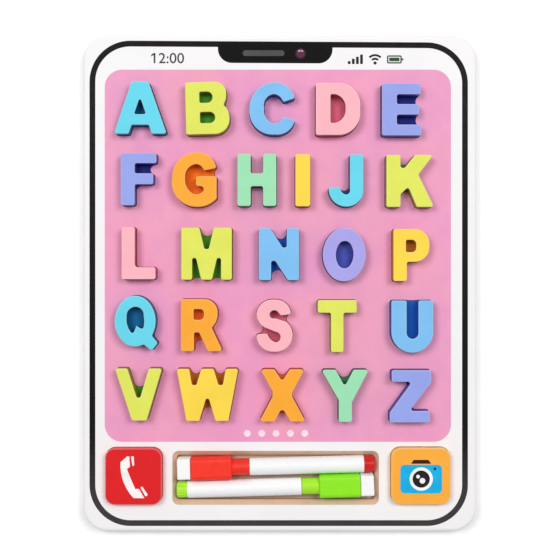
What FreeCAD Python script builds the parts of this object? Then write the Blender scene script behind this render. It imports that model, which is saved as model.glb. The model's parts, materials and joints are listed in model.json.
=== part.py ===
import FreeCAD, Part

import math
import os

from FreeCAD import Vector

# A wooden alphabet puzzle board shaped like a tablet computer.
# It lies on its back. X runs to the right, Y towards the top of the tablet
# and Z up out of the face. The origin is the centre of the back face.
# All sizes are in millimetres.

# --- board -----------------------------------------------------------------
BOARD_W = 226.0
BOARD_H = 285.0
BOARD_CORNER = 14.0
EDGE_ROUND = 2.0
BACK_EDGE_ROUND = 0.8

WHITEBOARD_T = 0.6
WHITEBOARD_MARGIN = 1.5
BACK_BOARD_T = 3.4
FRONT_BOARD_T = 6.0
FACE_SHEET_T = 0.2

BACK_BOARD_Z = WHITEBOARD_T
POCKET_FLOOR_Z = BACK_BOARD_Z + BACK_BOARD_T
FACE_SHEET_Z = POCKET_FLOOR_Z + FRONT_BOARD_T
SURFACE_Z = FACE_SHEET_Z + FACE_SHEET_T

# Edges and points nearer than this are taken to be in the same place.
SAME_PLACE = 1e-4

# --- letter blocks ---------------------------------------------------------
CAP_HEIGHT = 29.6
LETTER_PROUD = 7.8
WEB_PROUD = 0.8
LETTER_TOP_Z = SURFACE_Z + LETTER_PROUD
WEB_TOP_Z = SURFACE_Z + WEB_PROUD
LETTER_GAP = 0.3
CORNER_OUT = 1.2
CORNER_IN = 1.1
COUNTER_CORNER = 0.8
COUNTER_CORNER_IN = 0.1
CUTTER_RADIUS = 3.0
LETTER_EDGE_ROUND = 0.6

# --- icon tiles ------------------------------------------------------------
TILE_PROUD = 4.8
TILE_CORNER = 5.6
TILE_EDGE_ROUND = 0.8
TILE_GAP = 0.25
TILE_HEIGHT = 32.2
PHONE_TILE = {"centre": (-83.3, -110.0), "width": 32.3}
CAMERA_TILE = {"centre": (80.3, -109.8), "width": 33.8}

# --- pen tray --------------------------------------------------------------
TRAY_X = (-61.6, 56.8)
TRAY_Y = (-127.0, -96.05)
TRAY_CORNER = 3.6
TRAY_FLOOR_CORNER = 1.8
TRAY_BEVEL = 2.6
TRAY_END_BEVEL = 2.25

# --- markers, along their own axis from the felt end -----------------------
FELT_LENGTH = 7.9
BLOCK_LENGTH = 23.5
COLLAR_LENGTH = 10.1
BARREL_LENGTH = 65.4
PLUG_LENGTH = 6.0
FELT_WIDTH = 12.0
FELT_HEIGHT = 10.8
FELT_CORNER = 1.6
FELT_END_ROUND = 0.7
BLOCK_WIDTH = 12.8
BLOCK_HEIGHT = 12.2
BLOCK_ROUND = 2.4
BLOCK_END_ROUND = 0.9
BARREL_RADIUS = 5.0
BARREL_BORE = 4.0
BARREL_END_ROUND = 0.4
NECK_RADIUS = 3.7
NECK_BORE = 2.7
NECK_LENGTH = 7.0
CAP_RADIUS = 4.75
CAP_BORE = 4.0
CAP_INSERT = 21.0
CAP_END_WALL = 1.2
CAP_MOUTH_GAP = 0.3
CAP_MOUTH_ROUND = 0.3
PLUG_RADIUS = 4.6
PLUG_END_ROUND = 1.0
PLUG_GROOVES = 14
GROOVE_RADIUS = 0.45
GROOVE_SETBACK = 0.8
SPIGOT_LENGTH = 6.0
NIB_RADIUS = 1.4
NOSE_RADIUS = 1.9
NOSE_LENGTH = 4.0
NIB_OUT = 3.4
NIB_IN = 12.0
NIB_TIP_ROUND = 1.26
INK_CORE_RADIUS = 3.9
SHOULDER_T = 3.0
MARKER_REST_GAP = 0.1

MARKER_END_GAP = 0.6
RED_MARKER = {"felt_at": (TRAY_X[0] + TRAY_END_BEVEL + MARKER_END_GAP, -106.0), "yaw": 1.3}
GREEN_MARKER = {"felt_at": (TRAY_X[1] - TRAY_END_BEVEL - MARKER_END_GAP, -115.05), "yaw": 181.7}


# --- flat outlines -----------------------------------------------------------
def point(xy, z=0.0):
    return Vector(xy[0], xy[1], z)


def outline(start, *steps):
    """A flat face. A step is an end point, or (point on the arc, end point)."""
    edges = []
    here = start
    for step in list(steps) + [start]:
        is_arc = isinstance(step[0], tuple)
        end = step[1] if is_arc else step
        if is_arc:
            edges.append(Part.Arc(point(here), point(step[0]), point(end)).toShape())
        elif math.dist(here, end) > SAME_PLACE:
            edges.append(Part.LineSegment(point(here), point(end)).toShape())
        here = end
    return Part.Face(Part.Wire(edges))


def rounded_box(x0, y0, x1, y1, left, right=None):
    """A rectangle with one corner radius on its left and one on its right."""
    right = left if right is None else right
    slack = 1.0 - math.sqrt(0.5)
    return outline(
        (x0 + left, y0),
        (x1 - right, y0),
        ((x1 - right * slack, y0 + right * slack), (x1, y0 + right)),
        (x1, y1 - right),
        ((x1 - right * slack, y1 - right * slack), (x1 - right, y1)),
        (x0 + left, y1),
        ((x0 + left * slack, y1 - left * slack), (x0, y1 - left)),
        (x0, y0 + left),
        ((x0 + left * slack, y0 + left * slack), (x0 + left, y0)),
    )


def oval(centre, half_width, half_height, end_radius):
    """An upright four-arc oval with tangent arcs."""
    side_radius = half_height ** 2 - 2 * half_height * end_radius + half_width ** 2
    side_radius /= 2 * (half_width - end_radius)
    turn = math.atan2(half_height - end_radius, side_radius - half_width)
    join_x = end_radius * math.cos(turn)
    join_y = half_height - end_radius + end_radius * math.sin(turn)

    def at(x, y):
        return (centre[0] + x, centre[1] + y)

    return outline(
        at(join_x, join_y),
        (at(0, half_height), at(-join_x, join_y)),
        (at(-half_width, 0), at(-join_x, -join_y)),
        (at(0, -half_height), at(join_x, -join_y)),
        (at(half_width, 0), at(join_x, join_y)),
    )


def only_face(shape):
    """The single outer face of a flat shape, without its holes."""
    largest = max(shape.Faces, key=lambda face: Part.Face(face.OuterWire).Area)
    return Part.Face(largest.OuterWire)


def grown(face, distance):
    return only_face(face.makeOffset2D(distance))


def corners_rounded(face, out_radius, in_radius):
    filled = grown(grown(face, in_radius), -in_radius)
    return grown(grown(filled, -out_radius), out_radius)


def prism(face, z0, z1):
    lifted = face.copy()
    lifted.translate(Vector(0, 0, z0))
    return lifted.extrude(Vector(0, 0, z1 - z0))


# --- the letters, each drawn from its lower left corner --------------------
TOP = CAP_HEIGHT
LETTERS = {
    "a": {
        "body": outline(
            (-0.5, 0), (9.4, TOP), (19.0, TOP), (29.4, 0),
            (20.9, 0), (19.2, 5.1), (9.5, 5.1), (7.8, 0)),
        "counters": [outline((10.9, 11.1), (17.6, 11.1), (14.2, 21.0))],
        "web": CORNER_IN,
    },
    "b": {
        "body": outline(
            (0, 0), (0, TOP), (16.5, TOP),
            ((21.6, 27.4), (23.2, 22.0)), ((22.7, 19.0), (21.4, 16.4)),
            ((24.0, 13.0), (24.8, 8.8)), ((22.5, 2.6), (16.2, 0))),
        "counters": [
            rounded_box(8.0, 17.8, 15.4, 24.1, 1.0, 3.1),
            rounded_box(8.1, 6.3, 16.6, 12.6, 1.0, 3.1)],
        "turn": 1.4,
    },
    "c": {
        "body": outline(
            (25.6, 20.5), ((22.0, 26.7), (14.3, TOP)), ((4.4, 25.5), (0, 15.0)),
            ((3.5, 4.0), (14.3, 0)), ((21.5, 1.8), (25.6, 8.5)), (18.9, 9.8),
            ((16.8, 7.3), (13.5, 6.3)), ((9.7, 8.9), (8.3, 14.8)),
            ((9.5, 20.6), (13.6, 22.9)), ((16.8, 21.7), (18.9, 18.4))),
    },
    "d": {
        "body": outline(
            (0, 0), (0, TOP), (13.5, TOP),
            ((21.7, 25.9), (25.1, 14.8)), ((21.7, 3.7), (13.5, 0))),
        "counters": [outline(
            (8.4, 6.9), (8.4, 23.1), (11.0, 23.1),
            ((15.2, 20.5), (16.8, 15.0)), ((15.2, 9.5), (11.0, 6.9)))],
    },
    "e": {
        "body": outline(
            (0, 0), (0, TOP), (21.8, TOP), (21.8, 23.3), (8.4, 23.3), (8.4, 17.8),
            (21.0, 17.8), (21.0, 11.8), (8.4, 11.8), (8.4, 6.2), (22.2, 6.2), (22.2, 0)),
        "web": 4.0,
    },
    "f": {
        "body": outline(
            (0, 0), (0, TOP), (20.2, TOP), (20.2, 23.8), (7.9, 23.8),
            (7.9, 18.1), (18.4, 18.1), (18.4, 11.9), (7.9, 11.9), (7.9, 0)),
    },
    "g": {
        "body": outline(
            (24.9, 21.2), ((21.3, 27.7), (13.4, TOP + 0.6)), ((3.9, 26.0), (-0.2, 15.2)),
            ((3.6, 3.5), (13.3, -0.7)), ((19.8, 0.3), (25.1, 4.0)), (25.1, 16.6),
            (13.4, 16.6), (13.4, 11.2), (15.8, 10.9), ((17.8, 9.3), (16.6, 7.4)),
            ((14.0, 6.3), (11.5, 6.9)), ((8.5, 9.9), (7.3, 15.3)),
            ((9.2, 21.3), (13.4, 23.5)), ((16.2, 22.4), (17.9, 19.8))),
    },
    "h": {
        "body": outline(
            (0, 0), (0, TOP), (7.6, TOP), (7.6, 18.5), (14.5, 18.5), (14.5, TOP),
            (22.1, TOP), (22.1, 0), (14.5, 0), (14.5, 11.2), (7.6, 11.2), (7.6, 0)),
        "web": 1.4,
    },
    "i": {"body": outline((0, 0), (0, TOP), (8.5, TOP), (8.5, 0))},
    "j": {
        "body": outline(
            (11.9, TOP), (19.5, TOP), (19.5, 10.4), ((17.3, 3.3), (10.1, 0)),
            ((2.8, 2.9), (-0.1, 10.6)), (6.6, 11.3), ((7.2, 8.4), (9.3, 6.9)),
            ((11.2, 7.4), (11.9, 9.8))),
    },
    "k": {
        "body": outline(
            (0, 0), (0, TOP), (8.1, TOP), (8.1, 22.2), (10.4, 22.2), (16.3, TOP),
            (26.8, TOP), (18.2, 18.3), (27.1, 0), (17.2, 0), (12.7, 10.7),
            (11.7, 10.7), (8.1, 7.2), (8.1, 0)),
        "web": 2.7,
    },
    "l": {
        "body": outline((0, 0), (0, TOP), (7.5, TOP), (7.5, 6.9), (19.2, 6.9), (19.2, 0)),
        "inner": 1.8,
        "web": 1.8,
    },
    "m": {
        "body": outline(
            (0, 0), (0, TOP), (10.3, TOP), (13.1, 17.5), (15.6, 17.5), (18.4, TOP),
            (28.7, TOP), (28.7, 0), (22.5, 0), (22.5, 12.3), (20.3, 12.3), (17.4, 0),
            (11.3, 0), (8.4, 12.3), (6.2, 12.3), (6.2, 0)),
        "web": 3.7,
    },
    "n": {
        "body": outline(
            (0, 0), (0, TOP), (6.4, TOP), (13.5, 18.6), (15.8, 18.6), (15.8, TOP),
            (22.8, TOP), (22.8, 0), (16.4, 0), (9.3, 11.0), (7.0, 11.0), (7.0, 0)),
        "web": 3.5,
    },
    "o": {
        "body": oval((12.0, TOP / 2), 12.2, TOP / 2 + 0.4, 10.3),
        "counters": [oval((12.2, TOP / 2), 5.0, 7.7, 3.9)],
        "turn": -2.0,
    },
    "p": {
        "body": outline(
            (0, 0), (0, TOP), (12.2, TOP), ((18.2, 27.0), (20.4, 20.3)),
            ((18.2, 13.6), (12.2, 10.9)), (7.7, 10.9), (7.7, 0)),
        "counters": [rounded_box(7.2, 16.5, 12.9, 23.4, 0.9, 2.4)],
    },
    "q": {
        "body": oval((11.6, 14.4), 11.6, 14.4, 9.9).fuse(outline(
            (14.5, 4.0), (16.9, 0.9), (20.8, -2.4), (24.4, 1.9), (21.7, 5.3), (18.0, 8.0)
        )).removeSplitter(),
        "counters": [outline(
            (11.9, 22.5), ((8.2, 20.9), (6.8, 16.6)), ((7.3, 11.7), (9.4, 7.8)),
            (10.7, 7.8), (12.3, 11.8), (14.6, 10.3), (16.1, 10.1),
            ((16.7, 13.6), (16.4, 17.2)), ((15.1, 21.1), (11.9, 22.5)))],
        "raise": 1.1,
    },
    "r": {
        "body": outline(
            (0, 0), (0, TOP), (13.2, TOP), ((18.6, 27.3), (20.7, 21.2)),
            ((19.9, 16.9), (17.3, 13.5)), (23.7, 0), (15.3, 0), (10.3, 10.7),
            (7.4, 10.7), (7.4, 0)),
        "counters": [rounded_box(7.2, 17.9, 13.0, 23.9, 0.9, 2.4)],
    },
    "s": {
        "body": outline(
            (19.6, 21.3), ((16.7, 27.6), (10.5, TOP)), ((3.0, 27.3), (0, 21.4)),
            ((1.1, 17.6), (4.4, 14.0)), (10.9, 11.3), ((13.3, 9.8), (13.7, 8.0)),
            ((12.8, 6.2), (10.8, 5.5)), ((8.2, 7.0), (6.3, 10.5)), (0, 9.9),
            ((3.0, 2.6), (10.2, 0)), ((17.6, 2.6), (20.6, 9.2)),
            ((19.6, 13.9), (16.9, 17.1)), (10.6, 19.1), ((7.6, 20.5), (8.0, 22.4)),
            ((10.1, 23.5), (12.3, 22.5)), (13.8, 20.6)),
        "inner": 0.6,
    },
    "t": {
        "body": outline(
            (0, 22.3), (0, TOP), (22.2, TOP), (22.2, 22.3),
            (14.7, 22.3), (14.7, 0), (7.5, 0), (7.5, 22.3)),
        "web": 2.0,
    },
    "u": {
        "body": outline(
            (0, TOP), (8.7, TOP), (8.7, 11.2), ((12.0, 7.9), (15.3, 11.2)), (15.3, TOP),
            (23.7, TOP), (23.7, 11.8), ((11.85, 0), (0, 11.8))),
        "web": 30.0,
    },
    "v": {
        "body": outline(
            (-0.4, TOP), (6.7, TOP), (12.0, 13.0), (13.9, 13.0),
            (18.8, TOP), (26.4, TOP), (17.6, 0), (9.3, 0)),
        "web": 3.5,
    },
    "w": {
        "body": outline(
            (-0.3, TOP), (6.9, TOP), (8.5, 20.4), (10.9, 20.4), (13.7, TOP),
            (20.7, TOP), (23.5, 20.4), (25.9, 20.4), (27.5, TOP), (34.7, TOP),
            (29.1, 0), (21.8, 0), (18.0, 12.7), (16.4, 12.7), (12.6, 0), (5.3, 0)),
        "web": 3.2,
    },
    "x": {
        "body": outline(
            (-0.3, TOP), (7.6, TOP), (11.5, 23.6), (12.5, 23.6), (16.4, TOP),
            (24.7, TOP), (17.8, 16.6), (17.8, 13.9), (25.3, 0), (16.8, 0),
            (12.9, 6.4), (11.1, 6.4), (7.5, 0), (-0.9, 0), (6.5, 14.0), (6.5, 17.2)),
        "web": 3.5,
    },
    "y": {
        "body": outline(
            (-0.6, TOP), (7.7, TOP), (12.2, 21.2), (13.4, 21.2), (17.8, TOP),
            (26.6, TOP), (16.9, 11.2), (16.9, 0), (9.4, 0), (9.4, 12.3)),
        "web": 4.0,
    },
    "z": {
        "body": outline(
            (1.1, TOP), (23.5, TOP), (23.5, 22.6), (11.2, 6.5), (22.7, 6.5),
            (22.7, 0), (0, 0), (0, 5.6), (12.6, 23.0), (1.1, 23.0)),
        "web": 2.0,
    },
}

# Five straight rows, which drop a little towards the right. A row has one height, at the
# middle of the board, and its blocks have their places along it to half a millimetre.
ROW_SLOPE = -1.0 / 150
LETTER_ROWS = [
    {"height": 99.0, "along": {"a": -79, "b": -41, "c": -4.5, "d": 33, "e": 69}},
    {"height": 58.5, "along": {"f": -80, "g": -48.5, "h": -13, "i": 13, "j": 37.5, "k": 73.5}},
    {"height": 16.5, "along": {"l": -80, "m": -41.5, "n": -0.5, "o": 36.5, "p": 74.5}},
    {"height": -24.0, "along": {"q": -81.5, "r": -44.5, "s": -3, "t": 32.5, "u": 75}},
    {"height": -63.5, "along": {"v": -80, "w": -41, "x": 1.5, "y": 37, "z": 74}},
]


def letter_centres():
    """The middle of each block on the board."""
    return {name: (x, row["height"] + ROW_SLOPE * x)
            for row in LETTER_ROWS for name, x in row["along"].items()}


def letter_outlines(name, centre):
    """The face outline, the base outline and the counters, in their place."""
    shape = LETTERS[name]
    face = corners_rounded(only_face(shape["body"]), CORNER_OUT, shape.get("inner", CORNER_IN))
    web_radius = shape.get("web", CUTTER_RADIUS)
    base = grown(grown(face, web_radius), -web_radius)
    counters = [corners_rounded(only_face(cut), COUNTER_CORNER, COUNTER_CORNER_IN)
                for cut in shape.get("counters", [])]
    box = face.BoundBox
    move = point(centre) - Vector(box.Center.x, box.Center.y - shape.get("raise", 0.0), 0)
    for flat in [face, base] + counters:
        flat.rotate(Vector(box.Center.x, box.Center.y, 0), Vector(0, 0, 1), shape.get("turn", 0.0))
        flat.translate(move)
    return face, base, counters


def edges_at(shape, z):
    return [edge for edge in shape.Edges
            if abs(edge.BoundBox.ZMin - z) < SAME_PLACE and abs(edge.BoundBox.ZMax - z) < SAME_PLACE]


def letter_block(face, base, counters):
    """One thick block: the letter above, and the filled base that fits its pocket."""
    upper = face
    for counter in counters:
        upper = upper.cut(counter)
    upper = prism(upper.Faces[0], WEB_TOP_Z, LETTER_TOP_Z)
    upper = upper.makeFillet(LETTER_EDGE_ROUND, edges_at(upper, LETTER_TOP_Z))
    lower = prism(base, POCKET_FLOOR_Z, WEB_TOP_Z)
    return lower.fuse(upper).removeSplitter()


# --- board layers ------------------------------------------------------------
def board_outline(inset=0.0):
    half_w = BOARD_W / 2 - inset
    half_h = BOARD_H / 2 - inset
    return rounded_box(-half_w, -half_h, half_w, half_h, BOARD_CORNER - inset)


def tile_outline(tile, grow=0.0):
    half_w = tile["width"] / 2 + grow
    half_h = TILE_HEIGHT / 2 + grow
    x, y = tile["centre"]
    return rounded_box(x - half_w, y - half_h, x + half_w, y + half_h, TILE_CORNER + grow)


def tray_outline():
    return rounded_box(TRAY_X[0], TRAY_Y[0], TRAY_X[1], TRAY_Y[1], TRAY_CORNER)


def tray_floor_outline():
    return rounded_box(TRAY_X[0] + TRAY_END_BEVEL, TRAY_Y[0] + TRAY_BEVEL,
                       TRAY_X[1] - TRAY_END_BEVEL, TRAY_Y[1] - TRAY_BEVEL, TRAY_FLOOR_CORNER)


def tray_cut():
    """The pen tray: straight walls with a bevelled rim."""
    walls = prism(tray_floor_outline(), POCKET_FLOOR_Z, FACE_SHEET_Z)
    top_wire = tray_outline().OuterWire
    top_wire.translate(Vector(0, 0, FACE_SHEET_Z))
    low_wire = tray_floor_outline().OuterWire
    low_wire.translate(Vector(0, 0, FACE_SHEET_Z - TRAY_BEVEL))
    return walls.fuse(Part.makeLoft([low_wire, top_wire], True, True))


def pocket_outlines(bases):
    pockets = [grown(base, LETTER_GAP) for base in bases]
    return pockets + [tile_outline(tile, TILE_GAP) for tile in (PHONE_TILE, CAMERA_TILE)]


def whiteboard_sheet():
    return prism(board_outline(WHITEBOARD_MARGIN), 0, WHITEBOARD_T)


def back_board():
    slab = prism(board_outline(), BACK_BOARD_Z, POCKET_FLOOR_Z)
    return slab.makeFillet(BACK_EDGE_ROUND, edges_at(slab, BACK_BOARD_Z))


def front_board(pockets):
    slab = prism(board_outline(), POCKET_FLOOR_Z, FACE_SHEET_Z)
    slab = slab.makeFillet(EDGE_ROUND, edges_at(slab, FACE_SHEET_Z))
    cuts = [prism(pocket, POCKET_FLOOR_Z, FACE_SHEET_Z) for pocket in pockets]
    return slab.cut(Part.makeCompound(cuts)).cut(tray_cut())


def face_sheet(pockets):
    sheet = prism(board_outline(EDGE_ROUND), FACE_SHEET_Z, SURFACE_Z)
    cuts = [prism(flat, FACE_SHEET_Z, SURFACE_Z) for flat in pockets + [tray_outline()]]
    return sheet.cut(Part.makeCompound(cuts))


def icon_tile(tile):
    top = SURFACE_Z + TILE_PROUD
    block = prism(tile_outline(tile), POCKET_FLOOR_Z, top)
    return block.makeFillet(TILE_EDGE_ROUND, edges_at(block, top))


# --- markers, modelled along +X from the felt end ----------------------------
BLOCK_X = FELT_LENGTH
COLLAR_X = BLOCK_X + BLOCK_LENGTH
BARREL_X = COLLAR_X + COLLAR_LENGTH
PLUG_X = BARREL_X + BARREL_LENGTH


def rod(radius, x0, x1):
    return Part.makeCylinder(radius, x1 - x0, Vector(x0, 0, 0), Vector(1, 0, 0))


def rounded_bar(width, height, radius, x0, x1):
    section = rounded_box(-width / 2, -height / 2, width / 2, height / 2, radius)
    bar = prism(section, x0, x1)
    bar.rotate(Vector(0, 0, 0), Vector(1, 0, 0), 90)
    bar.rotate(Vector(0, 0, 0), Vector(0, 0, 1), 90)
    return bar


def end_edges(shape, x):
    return [edge for edge in shape.Edges
            if abs(edge.BoundBox.XMin - x) < SAME_PLACE and abs(edge.BoundBox.XMax - x) < SAME_PLACE]


def marker_pieces():
    """The pieces of one marker, split into those on the barrel and on the cap."""
    bore_start = BARREL_X + SHOULDER_T
    core_end = PLUG_X - SPIGOT_LENGTH
    neck_x = BARREL_X - NECK_LENGTH

    barrel = rod(BARREL_RADIUS, BARREL_X, PLUG_X)
    barrel = barrel.makeFillet(BARREL_END_ROUND, end_edges(barrel, BARREL_X) + end_edges(barrel, PLUG_X))
    barrel = barrel.fuse(rod(NECK_RADIUS, neck_x, bore_start))
    barrel = barrel.cut(rod(BARREL_BORE, bore_start, PLUG_X))
    barrel = barrel.cut(rod(NECK_BORE, neck_x, bore_start)).removeSplitter()

    plug = rod(PLUG_RADIUS, PLUG_X, PLUG_X + PLUG_LENGTH)
    plug = plug.makeFillet(PLUG_END_ROUND, end_edges(plug, PLUG_X + PLUG_LENGTH))
    groove = Part.makeCylinder(GROOVE_RADIUS, PLUG_LENGTH,
                               Vector(PLUG_X + GROOVE_SETBACK, 0, PLUG_RADIUS), Vector(1, 0, 0))
    for step in range(PLUG_GROOVES):
        turned = groove.copy()
        turned.rotate(Vector(0, 0, 0), Vector(1, 0, 0), step * 360.0 / PLUG_GROOVES)
        plug = plug.cut(turned)
    plug = plug.fuse(rod(BARREL_BORE, core_end, PLUG_X)).removeSplitter()

    nose = Part.makeCone(NECK_BORE, NOSE_RADIUS, NOSE_LENGTH,
                         Vector(neck_x, 0, 0), Vector(-1, 0, 0))
    holder = rod(NECK_BORE, neck_x, bore_start).fuse(nose).removeSplitter()
    holder = holder.cut(rod(NIB_RADIUS, neck_x - NOSE_LENGTH, bore_start))

    nib_tip = neck_x - NOSE_LENGTH - NIB_OUT
    nib = rod(NIB_RADIUS, nib_tip, bore_start + NIB_IN)
    nib = nib.makeFillet(NIB_TIP_ROUND, end_edges(nib, nib_tip))

    core = rod(INK_CORE_RADIUS, bore_start, core_end)
    core = core.cut(rod(NIB_RADIUS, bore_start, bore_start + NIB_IN))

    cap_closed = COLLAR_X - CAP_INSERT
    cap_mouth = BARREL_X - CAP_MOUTH_GAP
    cap = rod(CAP_RADIUS, cap_closed, cap_mouth)
    cap = cap.makeFillet(CAP_MOUTH_ROUND, end_edges(cap, cap_mouth))
    cap = cap.cut(rod(CAP_BORE, cap_closed + CAP_END_WALL, cap_mouth))

    block = rounded_bar(BLOCK_WIDTH, BLOCK_HEIGHT, BLOCK_ROUND, BLOCK_X, COLLAR_X)
    block = block.makeFillet(BLOCK_END_ROUND, end_edges(block, COLLAR_X) + end_edges(block, BLOCK_X))
    block = block.cut(rod(CAP_RADIUS, cap_closed, COLLAR_X))

    felt = rounded_bar(FELT_WIDTH, FELT_HEIGHT, FELT_CORNER, 0, FELT_LENGTH)
    felt = felt.makeFillet(FELT_END_ROUND, end_edges(felt, 0))
    return {"barrel": barrel, "end_plug": plug, "nib_holder": holder, "nib": nib,
            "ink_core": core, "cap": cap, "eraser_block": block, "eraser_felt": felt}


def marker_placement(marker):
    """Lays a marker in the tray, resting on its block and the end of its barrel."""
    half_block = BLOCK_HEIGHT / 2
    drop = math.asin((half_block - BARREL_RADIUS) / (PLUG_X - COLLAR_X))
    axis_z = POCKET_FLOOR_Z + MARKER_REST_GAP + half_block * math.cos(drop)
    tilt = FreeCAD.Rotation(Vector(0, 1, 0), math.degrees(drop))
    yaw = FreeCAD.Rotation(Vector(0, 0, 1), marker["yaw"])
    turn = yaw.multiply(tilt)
    x, y = marker["felt_at"]
    felt_z = axis_z + COLLAR_X * math.sin(drop)
    return FreeCAD.Placement(Vector(x, y, felt_z), turn)


def marker_nodes(colour, marker):
    placement = marker_placement(marker)
    nodes = {}
    for piece, solid in marker_pieces().items():
        placed = solid.copy()
        placed.Placement = placement.multiply(placed.Placement)
        nodes[f"{colour}_marker_{piece}"] = placed
    return nodes


# --- the whole board -----------------------------------------------------------
def build():
    nodes = {}
    bases = []
    for name, centre in letter_centres().items():
        face, base, counters = letter_outlines(name, centre)
        nodes[f"letter_{name}"] = letter_block(face, base, counters)
        bases.append(base)
    pockets = pocket_outlines(bases)
    nodes["whiteboard_sheet"] = whiteboard_sheet()
    nodes["back_board"] = back_board()
    nodes["front_board"] = front_board(pockets)
    nodes["face_sheet"] = face_sheet(pockets)
    nodes["phone_tile"] = icon_tile(PHONE_TILE)
    nodes["camera_tile"] = icon_tile(CAMERA_TILE)
    nodes.update(marker_nodes("red", RED_MARKER))
    nodes.update(marker_nodes("green", GREEN_MARKER))
    return nodes


os.makedirs("parts", exist_ok=True)
for node_name, node_shape in build().items():
    solid = node_shape.Solids[0]
    solid.exportStep(f"parts/{node_name}.step")
    box = solid.BoundBox
    print(f"{node_name:26s} solids {len(node_shape.Solids)} valid {node_shape.isValid()} "
          f"volume {solid.Volume:9.0f} x {box.XMin:7.1f} {box.XMax:7.1f} "
          f"y {box.YMin:7.1f} {box.YMax:7.1f} z {box.ZMin:6.2f} {box.ZMax:6.2f}")
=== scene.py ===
import json
import math

import bmesh
import bpy
from mathutils import Matrix, Vector, noise


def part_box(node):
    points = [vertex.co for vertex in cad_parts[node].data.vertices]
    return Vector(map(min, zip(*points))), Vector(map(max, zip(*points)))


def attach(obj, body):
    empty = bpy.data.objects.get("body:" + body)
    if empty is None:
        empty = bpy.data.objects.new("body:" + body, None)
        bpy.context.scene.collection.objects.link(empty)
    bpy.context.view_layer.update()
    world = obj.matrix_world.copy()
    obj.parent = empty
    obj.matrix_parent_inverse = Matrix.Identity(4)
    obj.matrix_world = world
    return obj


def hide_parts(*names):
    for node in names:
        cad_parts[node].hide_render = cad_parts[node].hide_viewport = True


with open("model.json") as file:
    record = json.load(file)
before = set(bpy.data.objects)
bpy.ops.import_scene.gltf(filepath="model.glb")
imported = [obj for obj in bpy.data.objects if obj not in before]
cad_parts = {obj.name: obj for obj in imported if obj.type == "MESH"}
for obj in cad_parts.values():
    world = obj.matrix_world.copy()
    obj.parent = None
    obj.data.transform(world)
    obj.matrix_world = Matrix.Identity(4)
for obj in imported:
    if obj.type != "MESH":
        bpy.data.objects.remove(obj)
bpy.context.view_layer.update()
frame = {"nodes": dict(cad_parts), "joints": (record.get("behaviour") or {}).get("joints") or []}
NODES = frame["nodes"]
JOINTS = {joint["name"]: joint for joint in frame["joints"]}

# Lengths are in millimetres, and become metres where they are multiplied by MM.
MM = 0.001

# --- levels and places taken from the frame ----------------------------------
FACE_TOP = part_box("face_sheet")[1].z / MM
FACE_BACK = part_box("face_sheet")[0].z / MM
POCKET_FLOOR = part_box("front_board")[0].z / MM
TILE_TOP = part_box("phone_tile")[1].z / MM
SHEET_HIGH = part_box("face_sheet")[1] / MM

# Two sizes of the CAD that the frame doesn't give: how far the filled webs stand above the face,
# and the corner radius of the face sheet, inside the board's rounded edge.
WEB_PROUD = 0.8
RIM_CORNER = 12.0

# --- the print on the face ---------------------------------------------------
SCREEN = {"low": (-100.4, -90.9), "high": (98.1, 122.5), "corner": 10.0}
RING = {"low": (-109.1, -139.1), "high": (107.8, 138.6), "corner": 23.5, "width": 3.3, "drop": 0.6}
NOTCH = {"left": -35.5, "right": 30.2, "bottom": 126.2, "corner": 8.0}
SPEAKER = {"low": (-21.3, 130.3), "high": (2.7, 133.6)}
LENS = {"centre": (11.9, 131.7), "radius": 3.1}
# The lens glass and its glints, as shares of the lens radius, and the glints' angles in degrees.
LENS_GLASS = 0.76
GLINT = {"outer": 0.70, "outer_spread": 24, "inner": 0.42, "inner_spread": 18}
GLINT_ANGLES = {"left": 118.0, "right": 62.0}
CLOCK = {"low": (-72.3, 126.1), "high": (-54.9, 132.1)}
# How much fatter the clock's strokes are made, in the font's own units.
CLOCK_WEIGHT = 0.006
# The flag on the clock's 1, from the top left corner of the reading.
CLOCK_FLAG = {"reach": 1.5, "overlap": 0.3, "drop": 1.1, "foot": 2.0}
SIGNAL = {"left": 39.0, "base": 125.7, "pitch": 2.35, "width": 1.55, "corner": 0.3}
SIGNAL_HEIGHTS = (1.7, 3.1, 4.2, 5.5)
WIFI = {"centre": (54.6, 126.1), "dot": 0.92, "dot_up": 0.2, "half_width": 0.6}
# Each arc of the wifi icon: its radius, and half its sweep in degrees.
WIFI_ARCS = ((2.6, 42.0), (4.7, 44.0))
BATTERY = {"low": (61.4, 126.0), "high": (69.9, 130.7), "wall": 0.8, "corner": 1.0, "inner_corner": 0.3}
BATTERY_LEVEL = {"low": (62.7, 127.3), "high": (68.6, 129.4), "corner": 0.2}
BATTERY_TIP = {"centre": (70.3, 128.35), "radius": 0.62}
PAGE_DOTS = {"xs": (-18.6, -10.35, -2.2, 6.1, 14.3), "y": -86.0, "radius": 1.95}
INK_T = 0.03
# Points of a printed mesh nearer than this are joined, and shorter edges than this are dropped.
WELD = 0.002
SLIVER = 0.001

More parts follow.
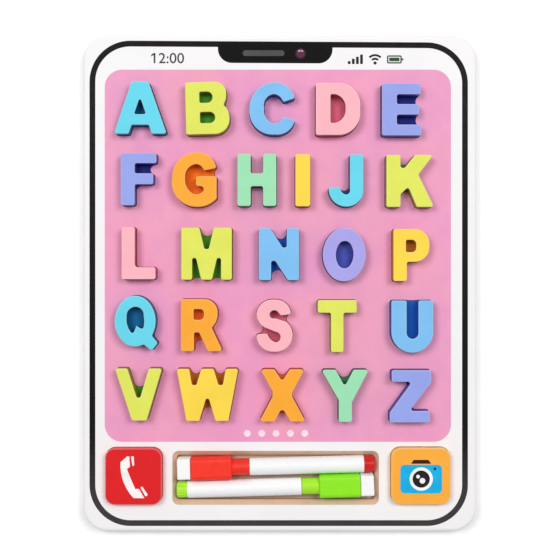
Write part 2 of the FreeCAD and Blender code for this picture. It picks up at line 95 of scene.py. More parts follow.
# --- colours, as sRGB --------------------------------------------------------
# The top is each paint's own colour. The side and web colours are painted shade: darker and more saturated
# than the top, standing in for the shade on the sawn sides and in the filled webs down in the gaps.
LETTER_PAINTS = {
    "cyan": {"letters": "ajq", "top": (104, 216, 238), "side": (28, 122, 164), "web": (0, 96, 146)},
    "lime": {"letters": "bkmtv", "top": (227, 233, 96), "side": (168, 160, 24), "web": (66, 146, 0)},
    "blue": {"letters": "cnu", "top": (128, 193, 243), "side": (54, 98, 184), "web": (8, 90, 184)},
    "pink": {"letters": "dls", "top": (254, 184, 193), "side": (200, 88, 112), "web": (214, 98, 124)},
    "periwinkle": {"letters": "efz", "top": (152, 166, 235), "side": (96, 100, 194), "web": (4, 20, 112)},
    "orange": {"letters": "grx", "top": (254, 172, 54), "side": (218, 108, 8), "web": (240, 112, 0)},
    "mint": {"letters": "hy", "top": (160, 228, 182), "side": (60, 138, 104), "web": (60, 142, 88)},
    "yellow": {"letters": "ipw", "top": (254, 218, 76), "side": (206, 140, 20), "web": (186, 112, 10)},
    "lavender": {"letters": "o", "top": (171, 165, 235), "side": (94, 90, 182), "web": (72, 82, 174)},
}
# How far the rounded top edge is paled towards white: a painted highlight along the rim.
RIM_HIGHLIGHT = 0.35
WHITE_PAINT = (246, 244, 245)
SCREEN_COOL = (237, 158, 200)
SCREEN_WARM = (241, 163, 194)
INK_BLACK = (22, 19, 20)
# The paler colour that the bezel ink turns to towards the bottom of the face, and the two heights between
# which it turns.
INK_LOW = (64, 61, 62)
INK_RAMP = {"low": -134, "high": -80}
INK_DEEP = (8, 7, 7)
MDF_TAN = (230, 194, 165)
MDF_DARK = (176, 140, 110)
# On the tiles the side colour is paler than the top, painted light that lifts the sides out of their shade,
# and the web colour is darker, painted shade on any upward face low in the pocket.
RED_TILE = {"top": (226, 32, 36), "side": (238, 78, 78), "web": (150, 16, 20)}
ORANGE_TILE = {"top": (254, 176, 64), "side": (254, 190, 96), "web": (160, 90, 16)}


def linear(rgb):
    """sRGB 0 to 255 as the linear colour that a shader socket takes."""
    parts = []
    for value in rgb:
        value /= 255.0
        parts.append(value / 12.92 if value <= 0.04045 else ((value + 0.055) / 1.055) ** 2.4)
    return (*parts, 1.0)


def lighter(rgb, share):
    return tuple(value + (255 - value) * share for value in rgb)


def darker(rgb, share):
    return tuple(value * (1 - share) for value in rgb)


# --- materials ---------------------------------------------------------------
class Surface:
    """One procedural material, with short names for the nodes that all of them use."""

    def __init__(self, name, roughness=0.5, **sockets):
        self.material = bpy.data.materials.new(name)
        self.material.use_nodes = True
        self.tree = self.material.node_tree
        self.shader = self.tree.nodes["Principled BSDF"]
        self.shader.inputs["Roughness"].default_value = roughness
        for socket, value in sockets.items():
            self.shader.inputs[socket.replace("_", " ")].default_value = value
        coordinates = self.tree.nodes.new("ShaderNodeTexCoord")
        self.place = coordinates.outputs["Object"]
        self.normal = coordinates.outputs["Normal"]

    def node(self, kind, inputs, **settings):
        node = self.tree.nodes.new(kind)
        for key, value in settings.items():
            setattr(node, key, value)
        for socket, value in inputs.items():
            if isinstance(value, bpy.types.NodeSocket):
                self.tree.links.new(value, node.inputs[socket])
            else:
                node.inputs[socket].default_value = value
        return node

    def scaled(self, factors):
        """The place multiplied along each axis, so that a noise can be stretched."""
        node = self.node("ShaderNodeVectorMath", {0: self.place, 1: factors}, operation="MULTIPLY")
        return node.outputs["Vector"]

    def noise(self, size, detail=2.0, roughness=0.5, vector=None):
        """Noise whose features are about size millimetres across."""
        node = self.node("ShaderNodeTexNoise", {
            "Vector": vector or self.place, "Scale": 1.0 / (size * MM),
            "Detail": detail, "Roughness": roughness})
        return node.outputs["Fac"]

    def split(self, vector):
        return self.node("ShaderNodeSeparateXYZ", {"Vector": vector}).outputs

    def remap(self, value, low, high, to_low=0.0, to_high=1.0):
        node = self.node("ShaderNodeMapRange", {
            "Value": value, "From Min": low, "From Max": high,
            "To Min": to_low, "To Max": to_high}, interpolation_type="SMOOTHSTEP")
        return node.outputs["Result"]

    def calc(self, operation, a, b=0.0):
        return self.node("ShaderNodeMath", {0: a, 1: b}, operation=operation).outputs["Value"]

    def mix(self, share, a, b, blend="MIX"):
        node = self.node("ShaderNodeMix", {}, data_type="RGBA", blend_type=blend)
        colours = [socket for socket in node.inputs if socket.type == "RGBA"]
        for socket, value in zip([node.inputs["Factor"]] + colours, (share, a, b)):
            if isinstance(value, bpy.types.NodeSocket):
                self.tree.links.new(value, socket)
            else:
                socket.default_value = value
        return [socket for socket in node.outputs if socket.type == "RGBA"][0]

    def mottle(self, colour, size, amount, detail=2.0):
        """The colour made a little darker and lighter by noise."""
        shade = self.remap(self.noise(size, detail), 0.3, 0.7, 1.0 - amount, 1.0 + amount)
        grey = self.node("ShaderNodeCombineColor", {0: shade, 1: shade, 2: shade})
        return self.mix(1.0, colour, grey.outputs["Color"], blend="MULTIPLY")

    def colour(self, value):
        self.tree.links.new(value, self.shader.inputs["Base Color"])

    def rough(self, size, low, high):
        value = self.remap(self.noise(size), 0.3, 0.7, low, high)
        self.tree.links.new(value, self.shader.inputs["Roughness"])

    def bump(self, *layers):
        """Each layer is (height, depth in millimetres)."""
        normal = None
        for height, depth in layers:
            inputs = {"Height": height, "Distance": depth * MM, "Strength": 1.0}
            if normal:
                inputs["Normal"] = normal
            normal = self.node("ShaderNodeBump", inputs).outputs["Normal"]
        self.tree.links.new(normal, self.shader.inputs["Normal"])


def painted_block(name, paint, web_z=POCKET_FLOOR):
    """Paint on a sawn block: flat pale top, a paler rim that is a painted highlight, and sides and webs in
    darker colours that are painted shade, darker still down in the pocket.
    """
    s = Surface(name, 0.5, Specular_IOR_Level=0.15)
    height = s.split(s.place)[2]
    up = s.split(s.normal)[2]
    # The sides get the darker side colour as painted shade, and towards the pocket floor they darken
    # further, as painted shade in the recess.
    shaded_side = s.mottle(linear(paint["side"]), 3.0, 0.16, 4.0)
    out_of_pocket = s.remap(height, POCKET_FLOOR * MM, FACE_TOP * MM)
    foot = s.mix(out_of_pocket, linear(darker(paint["side"], 0.45)), shaded_side)
    # The rounded top edge is paled towards white, a painted highlight.
    rim = s.mix(s.remap(up, 0.12, 0.55), foot, linear(lighter(paint["top"], RIM_HIGHLIGHT)))
    flat = s.mottle(s.mottle(linear(paint["top"]), 16.0, 0.025), 0.7, 0.02, 3.0)
    face = s.mix(s.remap(up, 0.90, 0.985), rim, flat)
    # The webs get the darker web colour, as painted shade down in the gaps.
    web = s.mottle(linear(paint["web"]), 2.5, 0.06, 4.0)
    above_web = s.remap(height, (web_z + 0.3) * MM, (web_z + 1.6) * MM)
    s.colour(s.mix(above_web, s.mix(s.remap(up, 0.3, 0.7), foot, web), face))
    s.rough(2.5, 0.42, 0.56)
    saw_marks = s.noise(0.35, 3.0, 0.6, s.scaled((1.0, 1.0, 0.12)))
    fibres = s.noise(0.22, 3.0, 0.6)
    peel = s.noise(1.1, 2.0)
    on_side = s.calc("SUBTRACT", 1.0, s.remap(up, 0.1, 0.5))
    s.bump((peel, 0.02), (fibres, 0.012), (s.calc("MULTIPLY", saw_marks, on_side), 0.06))
    return s.material


def painted_board(name, colour):
    s = Surface(name, 0.5, Specular_IOR_Level=0.3)
    s.colour(s.mottle(s.mottle(linear(colour), 22.0, 0.012), 0.8, 0.008))
    s.rough(4.0, 0.44, 0.58)
    s.bump((s.noise(1.4, 3.0), 0.02), (s.noise(0.25, 2.0), 0.006))
    return s.material


def bare_fibreboard(name):
    """Sawn fibreboard: pressed fibres, darker where the saw has burnt it, and darker towards the pocket
    floor as painted shade.
    """
    s = Surface(name, 0.85)
    fibres = s.noise(0.5, 5.0, 0.7, s.scaled((1.0, 1.0, 2.2)))
    blotch = s.noise(9.0, 3.0, 0.6)
    height = s.split(s.place)[2]
    grain = s.remap(fibres, 0.35, 0.68)
    tan = s.mix(grain, linear(darker(MDF_TAN, 0.06)), linear(lighter(MDF_TAN, 0.08)))
    burnt = s.mix(s.remap(blotch, 0.45, 0.8, 0.0, 0.25), tan, linear(MDF_DARK))
    # Lower down in the pockets and the tray the tan is darkened, as painted shade in the recess.
    pocket_shade = s.remap(height, POCKET_FLOOR * MM, FACE_BACK * MM)
    s.colour(s.mix(pocket_shade, linear(darker(MDF_TAN, 0.12)), burnt))
    s.bump((fibres, 0.10), (s.noise(0.16, 2.0), 0.03))
    return s.material


def box_distance(s, low, high, corner):
    """How far a place lies outside a rounded rectangle on the face, whatever its height."""
    middle = [(a + b) / 2 * MM for a, b in zip(low, high)]
    half = [((b - a) / 2 - corner) * MM for a, b in zip(low, high)]
    offset = s.node("ShaderNodeVectorMath", {0: s.place, 1: (*middle, 0.0)}, operation="SUBTRACT")
    folded = s.node("ShaderNodeVectorMath", {0: offset.outputs[0]}, operation="ABSOLUTE")
    beyond = s.node("ShaderNodeVectorMath", {0: folded.outputs[0], 1: (*half, 1.0)},
                    operation="SUBTRACT")
    clipped = s.node("ShaderNodeVectorMath", {0: beyond.outputs[0], 1: (0.0, 0.0, 0.0)},
                     operation="MAXIMUM")
    length = s.node("ShaderNodeVectorMath", {0: clipped.outputs[0]}, operation="LENGTH")
    return s.calc("SUBTRACT", length.outputs["Value"], corner * MM)


def printed_film(name):
    """The face film: white surround, pink screen, fine print grain under a soft gloss."""
    s = Surface(name, 0.5, Specular_IOR_Level=0.2)
    edge = box_distance(s, SCREEN["low"], SCREEN["high"], SCREEN["corner"])
    white = s.mottle(linear(WHITE_PAINT), 24.0, 0.010)
    warm = s.mix(s.remap(s.noise(48.0, 3.0, 0.6), 0.35, 0.65), linear(SCREEN_COOL),
                 linear(SCREEN_WARM))
    pink = s.mottle(s.mottle(warm, 12.0, 0.018), 0.45, 0.018)
    s.colour(s.mix(s.remap(edge, -0.12 * MM, 0.12 * MM), pink, white))
    s.rough(5.0, 0.42, 0.56)
    s.bump((s.noise(1.8, 3.0), 0.014), (s.noise(0.3, 2.0), 0.005))
    return s.material


def ink(name, colour, bottom_colour=None, roughness=0.42):
    """Printed ink with a little grain. Given a second, paler colour, it turns to that colour towards the
    bottom of the face, and is darkest in the notch.
    """
    s = Surface(name, roughness, Specular_IOR_Level=0.08)
    base = linear(colour)
    if bottom_colour:
        along = s.split(s.place)[1]
        base = s.mix(s.remap(along, INK_RAMP["low"] * MM, INK_RAMP["high"] * MM), linear(bottom_colour), base)
        low, high = (NOTCH["left"], NOTCH["bottom"]), (NOTCH["right"], RING["high"][1])
        notch = box_distance(s, low, high, 2.0)
        base = s.mix(s.remap(notch, -2.5 * MM, 1.0 * MM), linear(INK_DEEP), base)
    s.colour(s.mottle(s.mottle(base, 9.0, 0.06), 0.4, 0.08))
    s.rough(3.0, roughness - 0.06, roughness + 0.08)
    s.bump((s.noise(0.5, 2.0), 0.006))
    return s.material


def moulded_plastic(name, colour, roughness=0.34, streaks=0.02):
    """Glossy moulded plastic with faint flow marks and handling scuffs."""
    s = Surface(name, roughness, Subsurface_Weight=0.08, Subsurface_Scale=1.5 * MM,
                Specular_IOR_Level=0.35, Coat_Weight=0.06, Coat_Roughness=0.2)
    s.shader.inputs["Subsurface Radius"].default_value = (1.0, 0.8, 0.7)
    s.colour(s.mottle(s.mottle(linear(colour), 7.0, streaks), 0.8, streaks / 2))
    s.rough(2.2, roughness - 0.08, roughness + 0.10)
    s.bump((s.noise(9.0, 2.0), 0.02))
    return s.material


def pressed_felt(name, colour, dark):
    """Pressed wool felt: matted fibres, soft sheen."""
    s = Surface(name, 0.95, Sheen_Weight=0.5, Sheen_Roughness=0.6)
    fibres = s.noise(0.35, 6.0, 0.75)
    s.colour(s.mix(s.remap(fibres, 0.32, 0.66), linear(dark), linear(colour)))
    s.bump((s.noise(1.2, 4.0, 0.7), 0.04), (fibres, 0.02))
    return s.material


def whiteboard_film(name):
    """Gloss dry-erase film, with the faint ghost of wiped strokes."""
    s = Surface(name, 0.16, Coat_Weight=0.5, Coat_Roughness=0.08)
    swipe = s.noise(60.0, 4.0, 0.6, s.scaled((0.35, 1.6, 1.0)))
    s.colour(s.mix(s.remap(swipe, 0.45, 0.72, 0.0, 0.35), linear((250, 250, 251)),
                   linear((232, 236, 242))))
    s.rough(14.0, 0.12, 0.24)
    s.bump((s.noise(18.0, 2.0), 0.02), (s.noise(0.6, 2.0), 0.002))
    return s.material


# --- giving the CAD pieces their materials -------------------------------------
def dress(node, *materials):
    mesh = NODES[node].data
    mesh.materials.clear()
    for material in materials:
        mesh.materials.append(material)


def paint_faces(node, index, chosen):
    """Puts a material index on the faces that chosen(centre in mm, normal) picks."""
    for face in NODES[node].data.polygons:
        if chosen(face.center / MM, face.normal):
            face.material_index = index


def dress_letters():
    for name, paint in LETTER_PAINTS.items():
        material = painted_block(f"{name}_block_paint", paint, FACE_TOP + WEB_PROUD)
        for letter in paint["letters"]:
            dress(f"letter_{letter}", material)


def inside_rim(point):
    """True where a point of the front board is a pocket or the tray, not its outer edge."""
    beyond = [max(0.0, abs(value) - (half - RIM_CORNER)) for value, half in zip(point, SHEET_HIGH)]
    return math.hypot(beyond[0], beyond[1]) < RIM_CORNER


def dress_board():
    mdf = bare_fibreboard("bare_fibreboard")
    dress("front_board", painted_board("white_board_paint", WHITE_PAINT), mdf)
    paint_faces("front_board", 1, lambda c, n: n.z < 0.9 and inside_rim(c))
    dress("back_board", painted_board("white_back_paint", WHITE_PAINT), mdf)
    paint_faces("back_board", 1, lambda c, n: n.z > 0.9)
    dress("face_sheet", printed_film("printed_face_film"))
    dress("whiteboard_sheet", whiteboard_film("dry_erase_film"))


# --- flat print as thin plates --------------------------------------------------
def ring_points(centre, radius, count=64, start=0.0, end=360.0):
    full = abs(end - start) >= 360.0
    steps = count if full else count - 1
    points = []
    for i in range(count):
        angle = math.radians(start + (end - start) * i / steps)
        points.append((centre[0] + radius * math.cos(angle), centre[1] + radius * math.sin(angle)))
    return points


def rounded_rect(low, high, corner, count=12):
    corners = [((high[0] - corner, high[1] - corner), 0), ((low[0] + corner, high[1] - corner), 90),
               ((low[0] + corner, low[1] + corner), 180), ((high[0] - corner, low[1] + corner), 270)]
    points = []
    for centre, start in corners:
        points += ring_points(centre, corner, count, start, start + 90)
    return points


def plate(name, outlines, z, material, body):
    """One layer of ink standing on z: the outlines filled, any inner outline left as a hole."""
    curve = bpy.data.curves.new(name, "CURVE")
    curve.dimensions = "2D"
    curve.fill_mode = "BOTH"
    curve.extrude = INK_T / 2 * MM
    for points in outlines:
        spline = curve.splines.new("POLY")
        spline.points.add(len(points) - 1)
        spline.use_cyclic_u = True
        for point, (x, y) in zip(spline.points, points):
            point.co = (x * MM, y * MM, 0.0, 1.0)
    shell = bpy.data.objects.new(name, curve)
    bpy.context.scene.collection.objects.link(shell)
    meshed(shell, name, z, material, body)


def meshed(source, name, z, material, body):
    """Turns a curve or text object into a clean mesh piece, standing on z and riding on a body."""
    depsgraph = bpy.context.evaluated_depsgraph_get()
    mesh = bpy.data.meshes.new_from_object(source.evaluated_get(depsgraph))
    mesh.transform(Matrix.Translation((0.0, 0.0, (z + INK_T / 2) * MM)) @ source.matrix_world)
    bpy.data.objects.remove(source)
    shape = bmesh.new()
    shape.from_mesh(mesh)
    bmesh.ops.remove_doubles(shape, verts=shape.verts, dist=WELD * MM)
    bmesh.ops.dissolve_degenerate(shape, edges=shape.edges, dist=SLIVER * MM)
    bmesh.ops.recalc_face_normals(shape, faces=shape.faces)
    shape.to_mesh(mesh)
    shape.free()
    mesh.name = name
    mesh.materials.clear()
    mesh.materials.append(material)
    piece = bpy.data.objects.new(name, mesh)
    bpy.context.scene.collection.objects.link(piece)
    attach(piece, body)


def face_print(name, outlines, material, level=0):
    """Ink on the face, on top of as many other layers of ink as its level says."""
    plate(name, outlines, FACE_TOP + level * INK_T, material, "board")


def bezel_print(black):
    """The black bezel line, with the camera notch hanging from its top."""
    low, high = RING["low"], RING["high"]
    width = RING["width"]
    steps = 24
    outer = rounded_rect(low, high, RING["corner"], steps)
    inner_low = (low[0] + width, low[1] + width)
    inner_high = (high[0] - width, high[1] - width)
    inner = rounded_rect(inner_low, inner_high, RING["corner"] - width, steps)
    top = inner_high[1]
    r = NOTCH["corner"]
    notch = [(NOTCH["right"], top)]
    notch += ring_points((NOTCH["right"] - r, NOTCH["bottom"] + r), r, 14, 0, -90)
    notch += ring_points((NOTCH["left"] + r, NOTCH["bottom"] + r), r, 14, -90, -180)
    notch += [(NOTCH["left"], top)]
    inner = inner[:steps] + notch + inner[steps:]

    def askew(x, y):
        """The line is printed out of square: its top slopes down to the right."""
        share = (y - low[1]) / (high[1] - low[1])
        return (x, y - RING["drop"] * share * x / high[0])

    face_print("bezel_line", [[askew(*place) for place in line] for line in (outer, inner)], black)


def notch_print():
    grille = ink("speaker_ink", (82, 80, 79))
    low, high = SPEAKER["low"], SPEAKER["high"]
    face_print("speaker_slot", [rounded_rect(low, high, (high[1] - low[1]) / 2)], grille, 1)
    centre, radius = LENS["centre"], LENS["radius"]
    rim = ink("lens_rim_ink", (58, 30, 44))
    glass = ink("lens_glass_ink", (92, 46, 72))
    glint = ink("lens_glint_ink", (206, 160, 184))
    face_print("lens_rim", [ring_points(centre, radius)], rim, 1)
    face_print("lens_glass", [ring_points(centre, radius * LENS_GLASS)], glass, 2)
    outer, inner = radius * GLINT["outer"], radius * GLINT["inner"]
    far, near = GLINT["outer_spread"], GLINT["inner_spread"]
    for side, angle in GLINT_ANGLES.items():
        band = ring_points(centre, outer, 10, angle - far, angle + far)
        band += ring_points(centre, inner, 10, angle + near, angle - near)
        face_print(f"lens_glint_{side}", [band], glint, 3)


def clock_print(grey):
    curve = bpy.data.curves.new("clock_reading", "FONT")
    curve.body = "12:00"
    curve.fill_mode = "BOTH"
    curve.extrude = INK_T / 2 * MM
    curve.offset = CLOCK_WEIGHT
    curve.resolution_u = 8
    text = bpy.data.objects.new("clock_reading", curve)
    bpy.context.scene.collection.objects.link(text)
    bpy.context.view_layer.update()
    corners = [Vector(corner) for corner in text.bound_box]
    low = Vector([min(c[i] for c in corners) for i in range(3)])
    high = Vector([max(c[i] for c in corners) for i in range(3)])
    wide = (CLOCK["high"][0] - CLOCK["low"][0]) * MM / (high.x - low.x)
    tall = (CLOCK["high"][1] - CLOCK["low"][1]) * MM / (high.y - low.y)
    text.scale = (wide, tall, 1.0)
    text.location = (CLOCK["low"][0] * MM - low.x * wide, CLOCK["low"][1] * MM - low.y * tall, 0.0)
    bpy.context.view_layer.update()
    meshed(text, "clock_reading", FACE_TOP, grey, "board")
    left, top = CLOCK["low"][0], CLOCK["high"][1]
    inner, outer = left + CLOCK_FLAG["overlap"], left - CLOCK_FLAG["reach"]
    drop, foot = CLOCK_FLAG["drop"], CLOCK_FLAG["foot"]
    flag = [(inner, top), (outer, top - drop), (outer, top - foot), (inner, top - drop)]
    face_print("clock_flag", [flag], grey)


def status_print(grey):
    base = SIGNAL["base"]
    for i, height in enumerate(SIGNAL_HEIGHTS):
        left = SIGNAL["left"] + i * SIGNAL["pitch"]
        bar = rounded_rect((left, base), (left + SIGNAL["width"], base + height), SIGNAL["corner"], 4)
        face_print(f"signal_bar_{i + 1}", [bar], grey)
    middle, half_width = WIFI["centre"], WIFI["half_width"]
    dot = ring_points((middle[0], middle[1] + WIFI["dot_up"]), WIFI["dot"], 24)
    face_print("wifi_dot", [dot], grey)
    for i, (radius, spread) in enumerate(WIFI_ARCS):
        band = ring_points(middle, radius + half_width, 24, 90 - spread, 90 + spread)
        band += ring_points(middle, radius - half_width, 24, 90 + spread, 90 - spread)
        face_print(f"wifi_arc_{i + 1}", [band], grey)
    green = ink("battery_ink", (52, 84, 50))
    pale = ink("battery_case_ink", (66, 84, 66))
    low, high, wall = BATTERY["low"], BATTERY["high"], BATTERY["wall"]
    inner_low, inner_high = (low[0] + wall, low[1] + wall), (high[0] - wall, high[1] - wall)
    hollow = rounded_rect(inner_low, inner_high, BATTERY["inner_corner"], 6)
    face_print("battery_case", [rounded_rect(low, high, BATTERY["corner"], 6), hollow], pale)
    level = rounded_rect(BATTERY_LEVEL["low"], BATTERY_LEVEL["high"], BATTERY_LEVEL["corner"], 4)
    face_print("battery_level", [level], green)
    tip = ring_points(BATTERY_TIP["centre"], BATTERY_TIP["radius"], 16)
    face_print("battery_tip", [tip], pale)


def page_dots_print():
    white = ink("page_dot_ink", (252, 226, 238))
    for i, x in enumerate(PAGE_DOTS["xs"]):
        face_print(f"page_dot_{i + 1}", [ring_points((x, PAGE_DOTS["y"]), PAGE_DOTS["radius"], 40)], white)


def print_face():
    black = ink("bezel_ink", INK_BLACK, INK_LOW)
    bezel_print(black)
    notch_print()
    clock_print(ink("clock_ink", (68, 66, 66)))
    status_print(ink("status_ink", (40, 36, 40)))
    page_dots_print()


# --- the two icon tiles -----------------------------------------------------------
def places_on(tile):
    """Gives the function that turns a place from the tile's middle into one in the frame."""
    low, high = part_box(tile)
    middle = (low + high) / 2 / MM
    return lambda x, y: (middle.x + x, middle.y + y)


def bow(start, bulge, end, count=14):
    """Points on the arc through three points."""
    a, b, c = Vector(start), Vector(bulge), Vector(end)
    d = 2 * (a.x * (b.y - c.y) + b.x * (c.y - a.y) + c.x * (a.y - b.y))
    x = (a.length_squared * (b.y - c.y) + b.length_squared * (c.y - a.y)
         + c.length_squared * (a.y - b.y)) / d
    y = (a.length_squared * (c.x - b.x) + b.length_squared * (a.x - c.x)
         + c.length_squared * (b.x - a.x)) / d
    radius = (a - Vector((x, y))).length
    first, second, last = [math.atan2(point.y - y, point.x - x) for point in (a, b, c)]
    sweep = (last - first) % math.tau
    if (second - first) % math.tau > sweep:
        sweep -= math.tau
    angles = [first + sweep * i / (count - 1) for i in range(count)]
    return [(x + radius * math.cos(angle), y + radius * math.sin(angle)) for angle in angles]


def phone_icon():
    """A plain telephone handset, white on red."""
    at = places_on("phone_tile")
    white = ink("handset_ink", (252, 243, 243), roughness=0.36)
    back = bow(at(-7.3, 8.3), at(-6.0, -1.8), at(0.1, -12.1))
    handle = back + [at(6.2, -12.2), at(3.4, -7.2), at(2.3, -6.8), at(1.2, -7.1)]
    handle += bow(at(1.2, -7.1), at(-1.3, -1.5), at(-3.7, 4.5), 8)[1:]
    handle += [at(-1.9, 5.7), at(-2.3, 11.4), at(-3.3, 11.8)]
    ear = [at(-1.4, 11.6), at(0.2, 11.6), at(0.5, 6.4), at(-0.5, 6.1)]
    mouth = [at(4.0, -6.1), at(5.1, -5.6), at(8.2, -10.2), at(7.6, -11.0), at(6.8, -11.0)]
    for name, points in (("handset_handle", handle), ("handset_ear", ear), ("handset_mouth", mouth)):
        plate(name, [points], TILE_TOP, white, "phone_tile")


def camera_icon():
    """A plain compact camera: blue body, dark top, round lens with two glints."""
    at = places_on("camera_tile")

    def layer(name, outlines, colour, level):
        material = ink(f"{name}_ink", colour, roughness=0.36)
        plate(name, outlines, TILE_TOP + level * INK_T, material, "camera_tile")

    lens = at(0.1, -1.5)
    button = at(7.9, 4.3)
    small_glint = (lens[0] - 1.8, lens[1] + 1.4)
    large_glint = (lens[0] + 0.7, lens[1] - 1.0)
    glint_white = (250, 250, 252)
    layer("camera_body", [rounded_rect(at(-11.8, -9.7), at(12.0, 6.6), 2.6)], (32, 178, 230), 0)
    layer("camera_top", [[at(-5.6, 7.2), at(5.8, 7.2), at(4.2, 9.4), at(-4.2, 9.4)]], (66, 34, 22), 0)
    layer("camera_lens_ring", [ring_points(lens, 6.6)], (250, 253, 255), 1)
    layer("camera_lens", [ring_points(lens, 4.9)], (40, 36, 42), 2)
    layer("camera_glint_small", [ring_points(small_glint, 1.05, 32)], glint_white, 3)
    layer("camera_glint_large", [ring_points(large_glint, 1.6, 32)], glint_white, 3)
    layer("camera_button", [ring_points(button, 0.85, 24)], (10, 60, 84), 1)


def dress_tiles():
    dress("phone_tile", painted_block("red_tile_paint", RED_TILE))
    dress("camera_tile", painted_block("orange_tile_paint", ORANGE_TILE))
    phone_icon()
    camera_icon()


# --- markers ------------------------------------------------------------------------
MARKERS = {
    "red": {"block": (252, 52, 32), "cap": (244, 50, 36), "plug": (214, 30, 26), "ink": (196, 24, 22)},
    "green": {"block": (146, 238, 26), "cap": (170, 238, 44), "plug": (178, 240, 50), "ink": (40, 140, 44)},
}
FELT_LAYERS = 3
FELT_CUTS = 26
FELT_ROUND = 1.3
# The felt is rounded less at the end glued to the block than at the free end.
FELT_GLUED_END = 0.2
FELT_FREE_END = 0.8
# The surface is sunk this far, so that the fuzz stays inside the CAD's box.
FELT_SINK = 0.10
# A seam between two layers is a groove, over this share of a half layer.
SEAM_DEPTH = 0.14
SEAM_SHARE = 0.14
# The matted fibres: how far they stand out, and how many cells the noise has in a metre.
COARSE_FUZZ = {"height": 0.06, "cells": 900}
FINE_FUZZ = {"height": 0.03, "cells": 2600}


def marker_axes(colour):
    """The marker's own axes: x towards its felt end, z as near up as it goes."""
    x = Vector(JOINTS[f"{colour}_cap_pull"]["axis"]).normalized()
    y = Vector((0, 0, 1)).cross(x).normalized()
    return x, y, x.cross(y)


def felt_block(colour, material):
    """The eraser: layers of pressed felt glued to the end of the cap's block."""
    node = f"{colour}_marker_eraser_felt"
    axes = marker_axes(colour)
    turn = Matrix([list(axis) for axis in axes])
    local = [turn @ v.co for v in NODES[node].data.vertices]
    low = Vector([min(p[i] for p in local) for i in range(3)])
    high = Vector([max(p[i] for p in local) for i in range(3)])
    middle = (low + high) / 2
    half = (high - low) / 2
    round_off = FELT_ROUND * MM
    shape = bmesh.new()
    bmesh.ops.create_cube(shape, size=2.0)
    bmesh.ops.subdivide_edges(shape, edges=shape.edges, cuts=FELT_CUTS, use_grid_fill=True)
    layer_t = 2 * half.x / FELT_LAYERS
    glued_end, free_end = FELT_GLUED_END * MM, FELT_FREE_END * MM
    for vert in shape.verts:
        point = Vector((vert.co.x * half.x, vert.co.y * half.y, vert.co.z * half.z))
        core = Vector([max(-h + round_off, min(h - round_off, c)) for h, c in zip(half, point)])
        core.x = max(-half.x + glued_end, min(half.x - free_end, point.x))
        away = point - core
        reach = Vector((glued_end if point.x < 0 else free_end, round_off, round_off))
        outward = Vector(vert.normal)
        if away.length > 0:
            outward = Vector([a / r for a, r in zip(away, reach)])
            outward.normalize()
            point = core + Vector([u * r for u, r in zip(outward, reach)])
        seam = abs(((point.x + half.x) / layer_t) % 1.0 - 0.5) * 2
        groove = SEAM_DEPTH * MM * max(0.0, (seam - (1 - SEAM_SHARE)) / SEAM_SHARE)
        fuzz = sum(noise.noise(point * kind["cells"]) * kind["height"] * MM
                   for kind in (COARSE_FUZZ, FINE_FUZZ))
        inward = groove + FELT_SINK * MM - fuzz
        vert.co = turn.transposed() @ (middle + point - outward * inward)
    mesh = bpy.data.meshes.new(f"{colour}_felt_eraser")
    shape.to_mesh(mesh)
    shape.free()
    for face in mesh.polygons:
        face.use_smooth = True
    mesh.materials.append(material)
    piece = bpy.data.objects.new(f"{colour}_felt_eraser", mesh)
    bpy.context.scene.collection.objects.link(piece)
    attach(piece, f"{colour}_marker_cap")
    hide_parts(node)


def dress_markers():
    white = moulded_plastic("white_barrel_plastic", (252, 252, 253), 0.3, 0.006)
    holder = moulded_plastic("nib_holder_plastic", (236, 236, 230), 0.45)
    felt = pressed_felt("white_eraser_felt", (255, 255, 255), (250, 249, 248))
    for colour, paint in MARKERS.items():
        marker = f"{colour}_marker"
        nib = pressed_felt(f"{colour}_nib_fibre", paint["ink"], darker(paint["ink"], 0.4))
        dress(f"{marker}_barrel", white)
        dress(f"{marker}_nib_holder", holder)
        dress(f"{marker}_nib", nib)
        dress(f"{marker}_ink_core", nib)
        dress(f"{marker}_end_plug", moulded_plastic(f"{colour}_plug_plastic", paint["plug"]))
        dress(f"{marker}_cap", moulded_plastic(f"{colour}_cap_plastic", paint["cap"]))
        dress(f"{marker}_eraser_block", moulded_plastic(f"{colour}_block_plastic", paint["block"], 0.4))
        felt_block(colour, felt)


# --- floor, lights and camera --------------------------------------------------------
# The camera's height above the face, and the width of the face's plane that it sees.
CAMERA_HEIGHT = 600.0
VIEW_WIDTH = 321.05
CAMERA_X = 0.1
CAMERA_Y = 1.9
SENSOR = 36.0
CLIP_NEAR = 10.0
CLIP_FAR = 20000.0
SOFTBOX = {"place": (820, 540, 1800), "size": 800, "power": 17.1}
WORLD_STRENGTH = 0.31
FLOOR_REACH = 4000.0
FLOOR_GAP = 0.05
FLOOR_GLOW = 0.12
FLOOR_GREY = (0.93, 0.93, 0.93, 1.0)
WHITE = (1.0, 1.0, 1.0, 1.0)


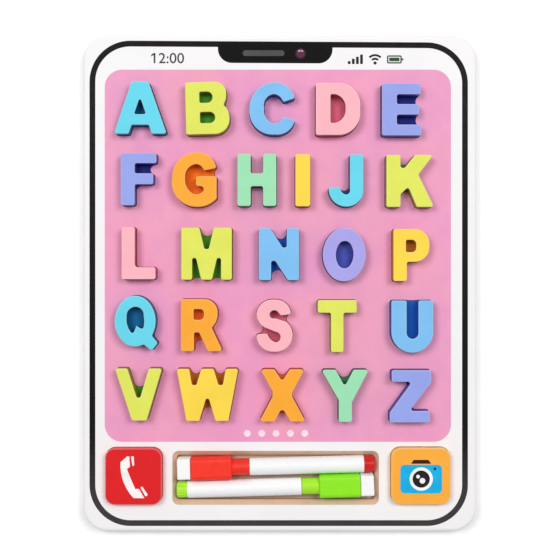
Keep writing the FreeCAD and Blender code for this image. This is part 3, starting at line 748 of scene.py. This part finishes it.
def add_softbox(name, place):
    """A square light, turned to face the middle of the board."""
    data = bpy.data.lights.new(name, "AREA")
    data.shape = "SQUARE"
    data.size = SOFTBOX["size"] * MM
    data.energy = SOFTBOX["power"]
    light = bpy.data.objects.new(name, data)
    bpy.context.scene.collection.objects.link(light)
    light.location = Vector(place) * MM
    direction = (-Vector(place)).normalized()
    light.rotation_euler = direction.to_track_quat("-Z", "Y").to_euler()


def make_stage():
    mesh = bpy.data.meshes.new("floor")
    reach = FLOOR_REACH * MM
    mesh.from_pydata([(-reach, -reach, 0), (reach, -reach, 0), (reach, reach, 0), (-reach, reach, 0)],
                     [], [(0, 1, 2, 3)])
    floor = bpy.data.objects.new("floor", mesh)
    floor.location.z = -FLOOR_GAP * MM
    bpy.context.scene.collection.objects.link(floor)
    s = Surface("pale_floor", 0.9)
    s.colour(s.mottle(FLOOR_GREY, 300.0, 0.004))
    s.shader.inputs["Emission Color"].default_value = WHITE
    s.shader.inputs["Emission Strength"].default_value = FLOOR_GLOW
    mesh.materials.append(s.material)

    world = bpy.data.worlds.new("soft_studio")
    world.use_nodes = True
    sky = world.node_tree.nodes["Background"]
    sky.inputs["Color"].default_value = WHITE
    sky.inputs["Strength"].default_value = WORLD_STRENGTH
    bpy.context.scene.world = world
    out, ahead, up = SOFTBOX["place"]
    add_softbox("softbox_left", (-out, ahead, up))
    add_softbox("softbox_right", (out, ahead, up))
    bpy.context.scene.view_settings.view_transform = "Standard"


def make_camera():
    data = bpy.data.cameras.new("camera")
    data.sensor_width = SENSOR
    data.lens = SENSOR * CAMERA_HEIGHT / VIEW_WIDTH
    data.clip_start = CLIP_NEAR * MM
    data.clip_end = CLIP_FAR * MM
    camera = bpy.data.objects.new("camera", data)
    camera.location = (CAMERA_X * MM, CAMERA_Y * MM, (FACE_TOP + CAMERA_HEIGHT) * MM)
    bpy.context.scene.collection.objects.link(camera)
    bpy.context.scene.camera = camera


make_camera()
make_stage()
dress_board()
dress_letters()
print_face()
dress_tiles()
dress_markers()

bpy.context.view_layer.update()
